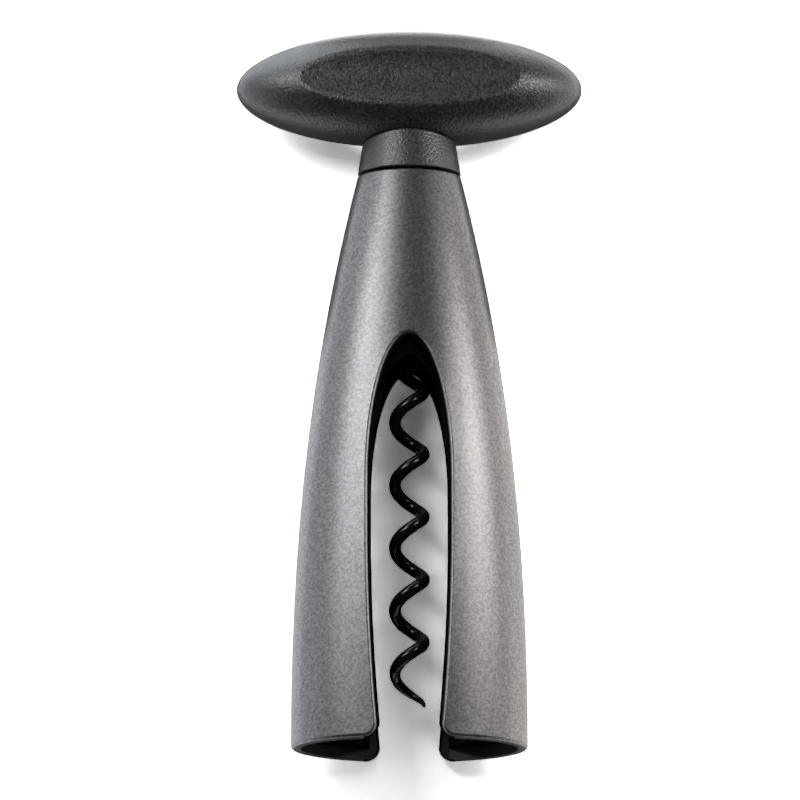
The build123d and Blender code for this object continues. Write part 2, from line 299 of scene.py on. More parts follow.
class LiningAndShadeStripLook(bpy.types.PropertyGroup):
    """Black strip that lines the slot's edge, partly the lining's own black and partly painted shade in the
    slot's wall.
    """

    width: bpy.props.FloatProperty(
        name="Width",
        description="How far the trim stands into the slot",
        unit="LENGTH",
        default=0.00072,
    )
    depth: bpy.props.FloatProperty(
        name="Depth",
        description="How far the trim runs back along the slot's wall",
        unit="LENGTH",
        default=0.0021,
    )
    inset: bpy.props.FloatProperty(
        name="Inset",
        description="How far the trim's face lies behind the body's painted surface",
        unit="LENGTH",
        default=0.0006,
    )
    edge: bpy.props.FloatProperty(
        name="Edge",
        description="Size of the trim's rounded edges",
        unit="LENGTH",
        default=0.00015,
    )


class StageLook(bpy.types.PropertyGroup):
    """Camera, lamps and floor."""

    tilt: bpy.props.FloatProperty(
        name="Tilt",
        description="How far the camera looks up at the object",
        subtype="ANGLE",
        default=math.radians(16.59),
    )
    distance: bpy.props.FloatProperty(
        name="Distance",
        description="How far the camera stands from the middle of the picture",
        unit="LENGTH",
        default=3.5,
    )
    pixels_per_metre: bpy.props.FloatProperty(
        name="Pixels per Metre",
        description="Scale of the picture at the worm's axis",
        default=3827.3,
    )
    aim: bpy.props.FloatVectorProperty(
        name="Aim",
        description="Point in the middle of the picture",
        subtype="TRANSLATION",
        size=3,
        default=(-0.00243, 0.0, 0.09446),
    )
    floor_gap: bpy.props.FloatProperty(
        name="Floor Gap",
        description="Gap between the object's back and the surface that it lies on",
        unit="LENGTH",
        default=0.002,
    )
    floor_white: bpy.props.FloatProperty(
        name="Floor White",
        description="Share of the light that the floor throws back",
        subtype="FACTOR",
        min=0,
        max=1,
        default=0.9,
    )
    floor_gain: bpy.props.FloatProperty(
        name="Floor Gain",
        description="How much brighter the floor is where it is seen, to be white outside the shadows",
        default=4.0,
    )
    floor_mirrored: bpy.props.FloatProperty(
        name="Floor Mirrored",
        description="How much brighter the floor is where a surface mirrors it",
        default=2.5,
    )
    # The floor's painted shade: the share of its brightness kept where a surface mirrors it close under the
    # object
    floor_painted_shade: bpy.props.FloatProperty(
        name="Floor Painted Shade",
        description="How bright the floor is, as a share, where a surface mirrors it close under the object",
        default=0.3,
    )
    fill: bpy.props.FloatProperty(
        name="Fill",
        description="Soft light from all round",
        default=0.0,
    )


def new_tree(name):
    """A new material's node tree, empty but for its output and its main shader."""
    material = bpy.data.materials.new(name)
    material.use_nodes = True
    tree = material.node_tree
    tree.nodes.clear()
    output = tree.nodes.new("ShaderNodeOutputMaterial")
    shader = tree.nodes.new("ShaderNodeBsdfPrincipled")
    tree.links.new(shader.outputs["BSDF"], output.inputs["Surface"])
    return material, tree, shader


def plug(tree, socket, value):
    """Sets a socket, or links it where the value is another node's output."""
    if isinstance(value, bpy.types.NodeSocket):
        tree.links.new(value, socket)
    elif socket.type == "RGBA":
        socket.default_value = (*value[:3], 1)
    else:
        socket.default_value = value


def maths(tree, operation, first, second=0.0, third=0.0):
    """One step of arithmetic, as a node."""
    node = tree.nodes.new("ShaderNodeMath")
    node.operation = operation
    for socket, value in zip(node.inputs, (first, second, third)):
        plug(tree, socket, value)
    return node.outputs[0]


def ramp_between(tree, value, low, high, out_low=0.0, out_high=1.0):
    """A smooth step from one value to another as the input goes from low to high."""
    node = tree.nodes.new("ShaderNodeMapRange")
    node.interpolation_type = "SMOOTHSTEP"
    settings = {"Value": value, "From Min": low, "From Max": high, "To Min": out_low, "To Max": out_high}
    for name, setting in settings.items():
        plug(tree, node.inputs[name], setting)
    return node.outputs["Result"]


def blend_colours(tree, share, first, second):
    """A mix of two colours by a share."""
    node = tree.nodes.new("ShaderNodeMix")
    node.data_type = "RGBA"
    plug(tree, node.inputs["Factor"], share)
    plug(tree, node.inputs[6], first)
    plug(tree, node.inputs[7], second)
    return node.outputs[2]


def place(tree):
    """The point's place on the piece, in metres."""
    return tree.nodes.new("ShaderNodeTexCoord").outputs["Object"]


def noise(tree, size, detail=2.0, rough=0.5, stretch=(1, 1, 1)):
    """Cloudy noise whose patches are about as large as the given size."""
    mapping = tree.nodes.new("ShaderNodeMapping")
    mapping.inputs["Scale"].default_value = stretch
    tree.links.new(place(tree), mapping.inputs["Vector"])
    node = tree.nodes.new("ShaderNodeTexNoise")
    tree.links.new(mapping.outputs["Vector"], node.inputs["Vector"])
    node.inputs["Scale"].default_value = 1 / size
    node.inputs["Detail"].default_value = detail
    node.inputs["Roughness"].default_value = rough
    return node.outputs["Fac"]


def bumps(tree, shader, height, depth, strength=1.0):
    """Raises the shader's surface by a height field."""
    node = tree.nodes.new("ShaderNodeBump")
    node.inputs["Strength"].default_value = strength
    node.inputs["Distance"].default_value = depth
    plug(tree, node.inputs["Height"], height)
    tree.links.new(node.outputs["Normal"], shader.inputs["Normal"])


def dress(material, *nodes):
    """Puts a material on the slots of CAD nodes."""
    for name in nodes:
        for slot in frame["nodes"][name].material_slots:
            slot.material = material


def square(tree, value):
    """A value times itself."""
    return maths(tree, "MULTIPLY", value, value)


def split(tree):
    """X, Y and Z of the point's place."""
    node = tree.nodes.new("ShaderNodeSeparateXYZ")
    tree.links.new(place(tree), node.inputs["Vector"])
    return node.outputs


def shaded(colour, share):
    """A colour made lighter or darker by a share of itself."""
    return tuple(share * c for c in colour)


def tinted(colour, tint):
    """A colour seen through a tint."""
    return tuple(c * t for c, t in zip(colour, tint))


def roughened(tree, shader, field, least, spread):
    """Roughness that rises from its least with a noise field."""
    plug(tree, shader.inputs["Roughness"], maths(tree, "MULTIPLY_ADD", field, spread, least))


def grain_with_painted_shade(tree, grain, colour, contrast):
    """The grain's own tone, with painted shade darkening its hollows and a painted highlight lightening its
    crests.
    """
    painted_shade_hollow = shaded(colour, 1 - contrast)
    painted_highlight_crest = shaded(colour, 1 + contrast)
    return blend_colours(tree, ramp_between(tree, grain, GRAIN_HOLLOW, GRAIN_CREST), painted_shade_hollow, painted_highlight_crest)


def inner_half(tree, share, taper, base, neck):
    """Half size of the shell's inner oval, at a share of the shell's height."""
    drawn_in = maths(tree, "POWER", share, taper)
    return maths(tree, "MULTIPLY_ADD", drawn_in, neck - base, base - WALL_SEEN)


def inside_of_shell(tree):
    """1 on the shell's inner walls and in the bottle's round space, 0 on its painted outside."""
    x, y, z = split(tree)
    share = maths(tree, "DIVIDE", maths(tree, "MAXIMUM", z, 0.0), BODY_HEIGHT)
    wide = inner_half(tree, share, WIDTH_TAPER, BASE_HALF_WIDTH, NECK_HALF_WIDTH)
    thick = inner_half(tree, share, DEPTH_TAPER, BASE_HALF_DEPTH, NECK_HALF_DEPTH)
    across = square(tree, maths(tree, "DIVIDE", x, wide))
    deep = square(tree, maths(tree, "DIVIDE", y, thick))
    in_oval = maths(tree, "LESS_THAN", maths(tree, "ADD", across, deep), 1.0)
    radius = maths(tree, "SQRT", maths(tree, "ADD", square(tree, x), square(tree, y)))
    in_round = maths(tree, "LESS_THAN", radius, NECK_SPACE)
    low = maths(tree, "LESS_THAN", z, LIP_SEAT)
    return maths(tree, "MAXIMUM", in_oval, maths(tree, "MULTIPLY", in_round, low))


def textured_paint(look):
    """Charcoal paint with metal flakes and a fine sandy texture, and the black of the shell's inside."""
    material, tree, shader = new_tree("textured_paint")
    grain = noise(tree, look.grain, detail=2.0, rough=0.55)
    speck = noise(tree, look.grain * SPECK_SHARE, detail=1.0)
    cloud = noise(tree, PAINT_CLOUD, detail=2.0)
    # grain tone, with painted shade in its hollows and a painted highlight on its crests
    colour = grain_with_painted_shade(tree, grain, look.colour, look.contrast)
    flakes = ramp_between(tree, speck, low=0.58, high=0.74, out_high=FLAKE_COVER)
    colour = blend_colours(tree, flakes, colour, look.flake)
    inside = inside_of_shell(tree)
    plug(tree, shader.inputs["Base Color"], blend_colours(tree, inside, colour, look.inside))
    plug(tree, shader.inputs["Metallic"], maths(tree, "MULTIPLY_ADD", inside, -PAINT_METAL, PAINT_METAL))
    rough = maths(tree, "MULTIPLY_ADD", grain, GRAIN_ROUGH, look.roughness - GRAIN_ROUGH / 2)
    rough = maths(tree, "MULTIPLY_ADD", cloud, CLOUD_ROUGH, rough)
    plug(tree, shader.inputs["Roughness"], maths(tree, "MULTIPLY_ADD", inside, INSIDE_ROUGHER, rough))
    bumps(tree, shader, grain, depth=0.02 * MM, strength=0.5)
    return material


def textured_skin(look):
    """Dark charcoal skin with a fine, softly matt texture."""
    material, tree, shader = new_tree("textured_skin")
    grain = noise(tree, look.grain, detail=2.0, rough=0.55)
    cloud = noise(tree, SKIN_CLOUD, detail=2.0)
    # grain tone, with painted shade in its hollows and a painted highlight on its crests
    plug(tree, shader.inputs["Base Color"], grain_with_painted_shade(tree, grain, look.colour, look.contrast))
    smoothest, roughest = look.roughness - HOLLOW_SMOOTHER, look.roughness + CREST_ROUGHER
    rough = ramp_between(tree, grain, GRAIN_HOLLOW, GRAIN_CREST, smoothest, roughest)
    plug(tree, shader.inputs["Roughness"], maths(tree, "MULTIPLY_ADD", cloud, CLOUD_ROUGH, rough))
    shader.inputs["Specular IOR Level"].default_value = look.gloss
    shader.inputs["IOR"].default_value = 1.6
    bumps(tree, shader, grain, depth=0.30 * MM, strength=0.5)
    return material


def black_moulding(colour):
    """Matt black moulded plastic with a faint spark-eroded texture."""
    material, tree, shader = new_tree("black_moulding")
    grain = noise(tree, size=0.3 * MM, detail=2.0)
    plug(tree, shader.inputs["Base Color"], blend_colours(tree, grain, colour, shaded(colour, 1.8)))
    roughened(tree, shader, grain, least=0.42, spread=0.2)
    shader.inputs["Specular IOR Level"].default_value = 0.02
    bumps(tree, shader, grain, depth=0.02 * MM, strength=0.4)
    return material


def black_coating(colour):
    """Glossy black coating on the worm's wire, faintly pebbled and smeared."""
    material, tree, shader = new_tree("black_coating")
    pebble = noise(tree, size=0.9 * MM, detail=2.0)
    smear = noise(tree, size=5 * MM, detail=2.0, stretch=(1, 1, 0.4))
    plug(tree, shader.inputs["Base Color"], blend_colours(tree, smear, colour, shaded(colour, 1.6)))
    roughened(tree, shader, smear, least=0.12, spread=0.16)
    shader.inputs["Specular IOR Level"].default_value = 0.1
    shader.inputs["Coat Weight"].default_value = 0.8
    shader.inputs["Coat Roughness"].default_value = 0.06
    bumps(tree, shader, pebble, depth=0.03 * MM, strength=0.35)
    return material


def black_oxide(colour):
    """Turned steel with a black oxide finish."""
    material, tree, shader = new_tree("black_oxide")
    rings = noise(tree, size=0.25 * MM, detail=1.0, stretch=TURNING_MARKS)
    blotch = noise(tree, size=3 * MM)
    plug(tree, shader.inputs["Base Color"], blend_colours(tree, blotch, colour, shaded(colour, 2.2)))
    shader.inputs["Specular IOR Level"].default_value = 0.03
    roughened(tree, shader, rings, least=0.28, spread=0.25)
    bumps(tree, shader, rings, depth=0.01 * MM, strength=0.4)
    return material


def zinc_plate(name, colour, painted_shade_below=0.0):
    """Bright zinc plate over turned steel, with a faint yellow and blue cast, and painted shade that turns
    it black below a height.
    """
    material, tree, shader = new_tree(name)
    rings = noise(tree, size=0.2 * MM, detail=1.0, stretch=TURNING_MARKS)
    cast = noise(tree, size=4 * MM)
    # painted shade: below the given height the plate is black and not metal
    bright = ramp_between(tree, split(tree)["Z"], painted_shade_below, painted_shade_below + PAINTED_SHADE_EDGE)
    plate = blend_colours(tree, cast, tinted(colour, YELLOW_CAST), tinted(colour, BLUE_CAST))
    plug(tree, shader.inputs["Base Color"], blend_colours(tree, bright, PAINTED_SHADE_BLACK, plate))
    plug(tree, shader.inputs["Metallic"], bright)
    shader.inputs["Specular IOR Level"].default_value = 0.03
    roughened(tree, shader, rings, least=0.2, spread=0.2)
    bumps(tree, shader, rings, depth=0.01 * MM, strength=0.3)
    return material


def turned_brass(colour):
    """Plain brass with turning marks and a little tarnish."""
    material, tree, shader = new_tree("turned_brass")
    rings = noise(tree, size=0.2 * MM, detail=1.0, stretch=TURNING_MARKS)
    tarnish = ramp_between(tree, noise(tree, size=3 * MM, detail=3.0), low=0.5, high=0.75)
    plug(tree, shader.inputs["Base Color"], blend_colours(tree, tarnish, colour, shaded(colour, 0.55)))
    shader.inputs["Metallic"].default_value = 1.0
    roughened(tree, shader, rings, least=0.2, spread=0.25)
    bumps(tree, shader, rings, depth=0.01 * MM, strength=0.35)
    return material


def filled_plastic(colour):
    """Black plastic filled with short glass fibres."""
    material, tree, shader = new_tree("filled_plastic")
    fibres = noise(tree, size=0.5 * MM, detail=2.0, stretch=(0.25, 1, 1))
    shown = ramp_between(tree, fibres, low=0.45, high=0.7)
    plug(tree, shader.inputs["Base Color"], blend_colours(tree, shown, colour, shaded(colour, 1.7)))
    roughened(tree, shader, fibres, least=0.45, spread=0.2)
    bumps(tree, shader, fibres, depth=0.03 * MM, strength=0.4)
    return material


class CORKSCREW_OT_body(bpy.types.Operator):
    """Paint the body shell"""

    bl_idname = "corkscrew.body"
    bl_label = "Paint Body"

    def execute(self, context):
        dress(textured_paint(context.scene.corkscrew_body), "body_shell")
        return {"FINISHED"}


class CORKSCREW_OT_lining(bpy.types.Operator):
    """Finish the black lining and the washer in the seam"""

    bl_idname = "corkscrew.lining"
    bl_label = "Finish Lining"

    def execute(self, context):
        look = context.scene.corkscrew_worm
        dress(black_moulding(look.lining), "inner_liner", "thrust_washer")
        return {"FINISHED"}


def half_width(z):
    """Half width of the body's oval at a height."""
    return BASE_HALF_WIDTH - (BASE_HALF_WIDTH - NECK_HALF_WIDTH) * (z / BODY_HEIGHT) ** WIDTH_TAPER


def half_depth(z):
    """Half depth of the body's oval at a height."""
    return BASE_HALF_DEPTH - (BASE_HALF_DEPTH - NECK_HALF_DEPTH) * (z / BODY_HEIGHT) ** DEPTH_TAPER


def surface(x, z, inset):
    """How far from the middle the body's surface lies, drawn in by an inset."""
    return (half_depth(z) - inset) * math.sqrt(1 - (x / (half_width(z) - inset)) ** 2)


def arc_handle(radius, angle):
    """Length of the curve handles that make a round arc."""
    return 4 / 3 * math.tan(angle / 4) * radius


def slot_line():
    """Line round the slot's edge, from one foot over the arch to the other, as a mesh in the XZ plane."""
    bow = SLOT_HALF - SLOT_FOOT_HALF
    bow_radius = (SLOT_STRAIGHT_FROM**2 + bow**2) / (2 * bow)
    corner_height = SLOT_CORNER * (1 + SLOT_STRAIGHT_FROM / bow_radius) / (1 + SLOT_CORNER / bow_radius)
    lean = math.asin((SLOT_STRAIGHT_FROM - corner_height) / bow_radius)
    corner = Vector((SLOT_HALF - bow_radius * (1 - math.cos(lean)), 0, corner_height))
    toe = Vector((corner.x + SLOT_CORNER * math.cos(lean), 0, 0))
    straight = Vector((SLOT_HALF, 0, SLOT_STRAIGHT_FROM))
    spring = Vector((SLOT_HALF, 0, SLOT_SPRING))
    top = Vector((0, 0, SLOT_TOP))
    across, up = Vector((1, 0, 0)), Vector((0, 0, 1))
    leaning = across * math.sin(lean) + up * math.cos(lean)
    foot_reach = arc_handle(SLOT_CORNER, math.pi / 2 + lean)
    side_reach = arc_handle(bow_radius, lean)
    straight_reach = (SLOT_SPRING - SLOT_STRAIGHT_FROM) / 3
    arch_rise = arc_handle(SLOT_TOP - SLOT_SPRING, math.pi / 2)
    arch_reach = arc_handle(SLOT_HALF, math.pi / 2)
    side = [
        (toe, toe, toe - across * foot_reach),
        (corner, corner - leaning * foot_reach, corner + leaning * side_reach),
        (straight, straight - up * side_reach, straight + up * straight_reach),
        (spring, spring - up * straight_reach, spring + up * arch_rise),
    ]
    other = Matrix.Scale(-1, 3, across)
    far_side = [(other @ point, other @ out, other @ back) for point, back, out in reversed(side)]
    knots = side + [(top, top + across * arch_reach, top - across * arch_reach)] + far_side
    curve = bpy.data.curves.new("slot_line", "CURVE")
    curve.dimensions = "3D"
    curve.resolution_u = 32
    spline = curve.splines.new("BEZIER")
    spline.bezier_points.add(len(knots) - 1)
    for knot, (point, back, out) in zip(spline.bezier_points, knots):
        knot.handle_left_type = knot.handle_right_type = "FREE"
        knot.co, knot.handle_left, knot.handle_right = point, back, out
    carrier = bpy.data.objects.new("slot_line", curve)
    line = bpy.data.meshes.new_from_object(carrier)
    bpy.data.objects.remove(carrier)
    bpy.data.curves.remove(curve)
    return line


def add_lining_and_shade_strip(name, look, side, material):
    """One black strip along the slot's edge, on the front or the back of the body, partly lining and partly
    painted shade.
    """
    line = slot_line()
    shape = bmesh.new()
    shape.from_mesh(line)
    bpy.data.meshes.remove(line)
    edges = list(shape.edges)
    for vert in shape.verts:
        vert.co.y = side * surface(vert.co.x, vert.co.z, look.inset)
    made = bmesh.ops.extrude_edge_only(shape, edges=edges)["geom"]
    for vert in [item for item in made if isinstance(item, bmesh.types.BMVert)]:
        back = abs(vert.co.y) - look.depth
        if vert.co.z < LIP_SEAT:
            inner = abs(vert.co.x) - look.width
            back = max(back, math.sqrt(NECK_GUIDE**2 - inner**2))
        vert.co.y = side * back
    bmesh.ops.recalc_face_normals(shape, faces=shape.faces)
    crown = max(shape.faces, key=lambda face: face.calc_center_median().z)
    if crown.normal.z > 0:
        bmesh.ops.reverse_faces(shape, faces=shape.faces)
    mesh = bpy.data.meshes.new(name)
    shape.to_mesh(mesh)
    shape.free()
    mesh.materials.append(material)
    trim = bpy.data.objects.new(name, mesh)
    bpy.context.scene.collection.objects.link(trim)
    # the strip runs out to nothing round the slot's rounded feet
    full_width = trim.vertex_groups.new(name="full_width")
    for vert in mesh.vertices:
        full_width.add([vert.index], min(vert.co.z / SLOT_CORNER, 1), "REPLACE")
    wall = trim.modifiers.new("wall", "SOLIDIFY")
    wall.thickness = look.width
    wall.offset = 1
    wall.vertex_group = full_width.name
    rounding = trim.modifiers.new("rounded_edges", "BEVEL")
    rounding.width = look.edge
    rounding.segments = 2
    rounding.limit_method = "ANGLE"
    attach(trim, "body")


class CORKSCREW_OT_lining_and_shade_strip(bpy.types.Operator):
    """Line the slot's edge with a black strip, front and back, partly lining and partly painted shade"""

    bl_idname = "corkscrew.trim"
    bl_label = "Add Slot Lining And Shade Strip"

    def execute(self, context):
        look = context.scene.corkscrew_trim
        # the strip takes the lining's black, which here also stands for painted shade in the slot's wall
        material = black_moulding(context.scene.corkscrew_worm.lining)
        add_lining_and_shade_strip("slot_lining_and_shade_strip_front", look, -1, material)
        add_lining_and_shade_strip("slot_lining_and_shade_strip_back", look, 1, material)
        return {"FINISHED"}


class CORKSCREW_OT_worm(bpy.types.Operator):
    """Coat the worm, and blacken its hub, whose black is deepened by painted shade"""

    bl_idname = "corkscrew.worm"
    bl_label = "Coat Worm"

    def execute(self, context):
        dress(black_coating(context.scene.corkscrew_worm.colour), "worm")
        # painted shade: the hub's colour is cut to a fifth where it sits in the dark top of the arch
        dress(black_oxide(shaded(slot_colour("hub_steel"), HUB_PAINTED_SHADE)), "worm_hub")
        return {"FINISHED"}


class CORKSCREW_OT_handle(bpy.types.Operator):
    """Skin the handle's halves and the neck collar, and finish the core inside"""

    bl_idname = "corkscrew.handle"
    bl_label = "Skin Handle"

    def execute(self, context):
        dress(textured_skin(context.scene.corkscrew_handle), "handle_front", "handle_rear", "neck_collar")
        dress(filled_plastic(slot_colour("core_plastic")), "handle_core")
        return {"FINISHED"}


class CORKSCREW_OT_metal(bpy.types.Operator):
    """Plate the shaft, pins, clip and screws, and finish the brass bush"""

    bl_idname = "corkscrew.metal"
    bl_label = "Finish Metal"

    def execute(self, context):
        zinc = slot_colour("zinc_steel")
        dress(zinc_plate("zinc_plate", zinc), "shaft_pin", "hub_pin", "bush_clip", "liner_screws")
        shaft_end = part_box("drive_shaft")[0].z
        # the shaft's end sits in the shade inside the arch and is painted black there as painted shade
        dress(zinc_plate("plated_shaft_with_painted_shade", zinc, shaft_end + PAINTED_SHADE_END), "drive_shaft")
        dress(turned_brass(slot_colour("bush_brass")), "guide_bush")
        return {"FINISHED"}


def from_front(azimuth, elevation):
    """Direction away from the object: azimuth 0 is the front, positive towards +X."""
    a, e = math.radians(azimuth), math.radians(elevation)
    return Vector((math.sin(a) * math.cos(e), -math.cos(a) * math.cos(e), math.sin(e)))


# Colours of the lamps, and the place and size that the soft washes share
LEFT_LIGHT = (0.96, 0.98, 1.0)
RIGHT_LIGHT = (1.0, 0.96, 0.94)
WINDOW_LIGHT = (0.88, 0.95, 1.0)
RIM_LIGHT = (1.0, 0.97, 0.95)
WASH_DISTANCE = 0.9
WASH_SIZE = 0.7


class Lamp(NamedTuple):
    """A soft box: where it stands as seen from the object, in degrees and metres, its size and its watts."""

    name: str
    azimuth: float
    elevation: float
    distance: float
    width: float
    height: float
    power: float
    colour: tuple = (1, 1, 1)
    lights_matt: bool = True
    mirrored: bool = True


def wash(name, azimuth, elevation, power):
    """A large soft lamp that lights the floor and the matt surfaces, and is left out of reflections."""
    return Lamp(name, azimuth, elevation, WASH_DISTANCE, WASH_SIZE, WASH_SIZE, power, mirrored=False)


LAMPS = (
    Lamp("left_box", -32.5, 20.5, 0.54, 0.282, 0.164, 0.74, LEFT_LIGHT),
    Lamp("right_box", 42.5, 15.4, 0.40, 0.204, 0.11, 0.36, RIGHT_LIGHT),
    Lamp("left_core", -32.5, 25.5, 0.535, 0.06, 0.04, 0.125, LEFT_LIGHT),
    Lamp("right_core", 45, 19.5, 0.395, 0.04, 0.025, 0.09, RIGHT_LIGHT),
    Lamp("window", -77, 58, 0.79, 0.875, 0.44, 2.8, WINDOW_LIGHT, lights_matt=False),
    Lamp("right_rim", 88, 12, 0.8, 0.4, 0.4, 0.5, RIM_LIGHT, lights_matt=False),
    wash("left_wash", -50, 0, 0.8),
    wash("right_wash", 50, 0, 0.65),
    wash("front_wash", 10, 30, 0.75),
    wash("top_left_wash", -50, 60, 1.7),
    wash("top_wash", 17, 60, 3.0),
    wash("low_left_wash", -20, -30, 0.3),
    wash("low_right_wash", 50, -43, 0.95),
    Lamp("back_box", 180, 35, 1.0, 0.8, 0.6, 2.5),
    Lamp("back_left_box", 147, 20.5, 0.54, 0.282, 0.164, 0.5),
    Lamp("back_right_box", -142, 15.4, 0.40, 0.204, 0.11, 0.25),
)


def add_lamp(settings):
    """Puts up one soft box, facing the middle of the object."""
    data = bpy.data.lights.new(settings.name, "AREA")
    data.shape = "RECTANGLE"
    data.size, data.size_y = settings.width, settings.height
    data.energy = settings.power
    data.color = settings.colour
    lamp = bpy.data.objects.new(settings.name, data)
    bpy.context.scene.collection.objects.link(lamp)
    middle = Vector((0, 0, (cad_box[0].z + cad_box[1].z) / 2))
    direction = from_front(settings.azimuth, settings.elevation)
    lamp.location = middle + direction * settings.distance
    lamp.rotation_mode = "QUATERNION"
    lamp.rotation_quaternion = direction.to_track_quat("Z", "Y")
    lamp.visible_camera = False
    lamp.visible_diffuse = settings.lights_matt
    lamp.visible_glossy = settings.mirrored


def seen_rays(tree):
    """1 for rays by which a surface is seen, straight or in a reflection, and 0 for rays of soft light."""
    rays = tree.nodes.new("ShaderNodeLightPath").outputs
    seen = maths(tree, "MAXIMUM", rays["Is Camera Ray"], rays["Is Transmission Ray"])
    return maths(tree, "MAXIMUM", seen, rays["Is Glossy Ray"])


def oval_reach(tree, x, z, oval):
    """How far a point of the floor lies from the middle of an oval, as a share of the oval's size."""
    across = maths(tree, "DIVIDE", x, oval.half_width)
    up = maths(tree, "DIVIDE", maths(tree, "SUBTRACT", z, oval.middle), oval.half_height)
    return maths(tree, "SQRT", maths(tree, "ADD", square(tree, across), square(tree, up)))


def within(tree, reach, inner, outer):
    """1 up to an inner reach, falling softly to 0 at an outer one."""
    return ramp_between(tree, reach, inner, outer, 1.0, 0.0)


def floor_colour(tree, look, rays, x, z):
    """White, brighter where it is seen, tinted by the surroundings' light where it is mirrored, and darkened
    by painted shade where it is mirrored close under the object.
    """
    pale = (look.floor_white,) * 3
    seen = maths(tree, "MAXIMUM", rays["Is Camera Ray"], rays["Is Transmission Ray"])
    colour = blend_colours(tree, seen, pale, shaded(pale, look.floor_gain))
    cool, warm = shaded(COOL, look.floor_mirrored), shaded(WARM, look.floor_mirrored)
    open_floor = blend_colours(tree, ramp_between(tree, x, -FLOOR_BLEND, FLOOR_BLEND), cool, warm)
    # painted shade in reflections of the floor, close beside the body and round the handle
    shade_under_body = within(tree, maths(tree, "ABSOLUTE", x), PAINTED_SHADE_BODY_FROM, PAINTED_SHADE_BODY_TO)
    shade_under_handle = within(tree, oval_reach(tree, x, z, PAINTED_SHADE_UNDER_HANDLE), inner=0.8, outer=1.1)
    under = maths(tree, "MAXIMUM", shade_under_body, shade_under_handle)
    mirrored = blend_colours(tree, under, open_floor, shaded(pale, look.floor_painted_shade))
    return blend_colours(tree, rays["Is Glossy Ray"], colour, mirrored)


def floor_material(look):
    """White surface, seen only from its front and near the object, with a gap behind the turning handle."""
    material = bpy.data.materials.new("white_floor")
    material.use_nodes = True
    tree = material.node_tree
    tree.nodes.clear()
    output = tree.nodes.new("ShaderNodeOutputMaterial")
    white = tree.nodes.new("ShaderNodeBsdfDiffuse")
    rays = tree.nodes.new("ShaderNodeLightPath").outputs
    x, _, z = split(tree)
    plug(tree, white.inputs["Color"], floor_colour(tree, look, rays, x, z))
    clear = tree.nodes.new("ShaderNodeBsdfTransparent")
    mix = tree.nodes.new("ShaderNodeMixShader")
    gap = within(tree, oval_reach(tree, x, z, HANDLE_GAP), inner=0.86, outer=1.0)
    behind = tree.nodes.new("ShaderNodeNewGeometry").outputs["Backfacing"]
    far = ramp_between(tree, oval_reach(tree, x, z, FLOOR_SHOWN), low=0.85, high=1.0)
    unseen = maths(tree, "MAXIMUM", behind, maths(tree, "MULTIPLY", far, rays["Is Camera Ray"]))
    plug(tree, mix.inputs["Fac"], maths(tree, "MAXIMUM", gap, unseen))
    tree.links.new(white.outputs["BSDF"], mix.inputs[1])
    tree.links.new(clear.outputs["BSDF"], mix.inputs[2])
    tree.links.new(mix.outputs["Shader"], output.inputs["Surface"])
    return material


def add_floor(look):
    """The pale surface that the object lies on, behind its back."""
    mesh = bpy.data.meshes.new("floor")
    shape = bmesh.new()
    bmesh.ops.create_grid(shape, x_segments=1, y_segments=1, size=FLOOR_HALF)
    bmesh.ops.rotate(shape, verts=shape.verts, matrix=Matrix.Rotation(math.radians(90), 3, "X"))
    bmesh.ops.translate(shape, verts=shape.verts, vec=(0, cad_box[1].y + look.floor_gap, cad_box[1].z / 2))
    shape.to_mesh(mesh)
    shape.free()
    mesh.materials.append(floor_material(look))
    floor = bpy.data.objects.new("floor", mesh)
    bpy.context.scene.collection.objects.link(floor)
    floor.visible_shadow = False


def light_world(look):
    """Surroundings: white where they are seen, tinted where they are mirrored, and a fill for the rest."""
    world = bpy.data.worlds.new("studio")
    bpy.context.scene.world = world
    world.use_nodes = True
    tree = world.node_tree
    tree.nodes.clear()
    output = tree.nodes.new("ShaderNodeOutputWorld")
    background = tree.nodes.new("ShaderNodeBackground")
    plug(tree, background.inputs["Strength"], ramp_between(tree, seen_rays(tree), 0.0, 1.0, look.fill, 1.0))
    tree.links.new(background.outputs["Background"], output.inputs["Surface"])
    direction = tree.nodes.new("ShaderNodeSeparateXYZ")
    tree.links.new(tree.nodes.new("ShaderNodeTexCoord").outputs["Generated"], direction.inputs["Vector"])
    side = ramp_between(tree, direction.outputs["X"], -WORLD_BLEND, WORLD_BLEND)
    tint = blend_colours(tree, side, shaded(COOL, WORLD_GAIN), shaded(WARM, WORLD_GAIN))
    mirrored = tree.nodes.new("ShaderNodeLightPath").outputs["Is Glossy Ray"]
    plug(tree, background.inputs["Color"], blend_colours(tree, mirrored, (1, 1, 1), tint))


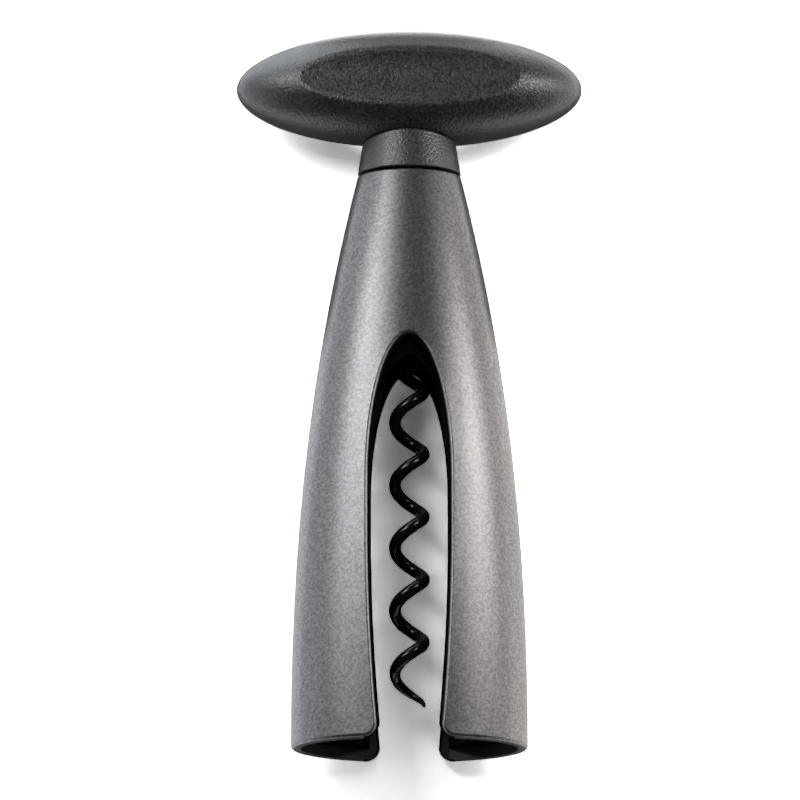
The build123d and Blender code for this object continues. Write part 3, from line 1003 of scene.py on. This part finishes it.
def add_flags():
    """Dark cards in front of the object and below it, which only reflections see."""
    mesh = bpy.data.meshes.new("flags")
    shape = bmesh.new()
    bmesh.ops.create_grid(shape, x_segments=1, y_segments=1, size=1.0)
    bmesh.ops.scale(shape, verts=shape.verts, vec=(FLAG_HALF_WIDTH, FLAG_HALF_HEIGHT, 1))
    bmesh.ops.rotate(shape, verts=shape.verts, matrix=Matrix.Rotation(math.radians(90), 3, "X"))
    bmesh.ops.translate(shape, verts=shape.verts, vec=(0, -FLAG_FORWARD, FLAG_MIDDLE))
    foot = min(shape.edges, key=lambda edge: (edge.verts[0].co + edge.verts[1].co).z)
    made = bmesh.ops.extrude_edge_only(shape, edges=[foot])["geom"]
    moved = [item for item in made if isinstance(item, bmesh.types.BMVert)]
    bmesh.ops.translate(shape, verts=moved, vec=(0, FLAG_BACK, 0))
    shape.to_mesh(mesh)
    shape.free()
    material, tree, shader = new_tree("flag_cloth")
    shader.inputs["Base Color"].default_value = FLAG_CLOTH
    shader.inputs["Roughness"].default_value = 1.0
    shader.inputs["Specular IOR Level"].default_value = 0.0
    mesh.materials.append(material)
    flags = bpy.data.objects.new("flags", mesh)
    bpy.context.scene.collection.objects.link(flags)
    flags.visible_camera = False
    flags.visible_shadow = False
    flags.visible_diffuse = False


def add_camera(look):
    """The camera, a little below the object and looking up at it."""
    data = bpy.data.cameras.new("camera")
    data.sensor_width = SENSOR_WIDTH
    data.lens = data.sensor_width * look.pixels_per_metre * look.distance / PICTURE_WIDTH
    data.clip_end = FARTHEST_SEEN
    camera = bpy.data.objects.new("camera", data)
    bpy.context.scene.collection.objects.link(camera)
    back = from_front(0, -math.degrees(look.tilt))
    camera.location = Vector(look.aim) + back * look.distance
    camera.rotation_mode = "QUATERNION"
    camera.rotation_quaternion = back.to_track_quat("Z", "Y")
    bpy.context.scene.camera = camera


class CORKSCREW_OT_stage(bpy.types.Operator):
    """Set the floor, the soft boxes, the surroundings and the camera"""

    bl_idname = "corkscrew.stage"
    bl_label = "Set Stage"

    def execute(self, context):
        look = context.scene.corkscrew_stage
        add_floor(look)
        light_world(look)
        add_flags()
        for settings in LAMPS:
            add_lamp(settings)
        add_camera(look)
        context.scene.view_settings.view_transform = "Standard"
        return {"FINISHED"}


class VIEW3D_PT_corkscrew(bpy.types.Panel):
    """Sidebar panel with the corkscrew's settings and steps"""

    bl_label = "Corkscrew"
    bl_idname = "VIEW3D_PT_corkscrew"
    bl_space_type = "VIEW_3D"
    bl_region_type = "UI"
    bl_category = "Corkscrew"

    def draw(self, context):
        for look in LOOKS:
            box = self.layout.box()
            group = getattr(context.scene, look)
            for name in group.bl_rna.properties.keys():
                if name not in {"rna_type", "name"}:
                    box.prop(group, name)
        for step in STEPS:
            self.layout.operator(step.bl_idname)


LOOKS = {
    "corkscrew_body": BodyLook,
    "corkscrew_handle": HandleLook,
    "corkscrew_worm": WormLook,
    "corkscrew_trim": LiningAndShadeStripLook,
    "corkscrew_stage": StageLook,
}
STEPS = (
    CORKSCREW_OT_body,
    CORKSCREW_OT_lining,
    CORKSCREW_OT_lining_and_shade_strip,
    CORKSCREW_OT_worm,
    CORKSCREW_OT_handle,
    CORKSCREW_OT_metal,
    CORKSCREW_OT_stage,
)


def register():
    for group in LOOKS.values():
        bpy.utils.register_class(group)
    for step in STEPS:
        bpy.utils.register_class(step)
    bpy.utils.register_class(VIEW3D_PT_corkscrew)
    for name, group in LOOKS.items():
        setattr(bpy.types.Scene, name, bpy.props.PointerProperty(type=group))


def unregister():
    for name in LOOKS:
        delattr(bpy.types.Scene, name)
    bpy.utils.unregister_class(VIEW3D_PT_corkscrew)
    for step in STEPS:
        bpy.utils.unregister_class(step)
    for group in LOOKS.values():
        bpy.utils.unregister_class(group)


def main():
    register()
    bpy.ops.corkscrew.body()
    bpy.ops.corkscrew.lining()
    bpy.ops.corkscrew.trim()
    bpy.ops.corkscrew.worm()
    bpy.ops.corkscrew.handle()
    bpy.ops.corkscrew.metal()
    bpy.ops.corkscrew.stage()


if __name__ == "__main__":
    main()
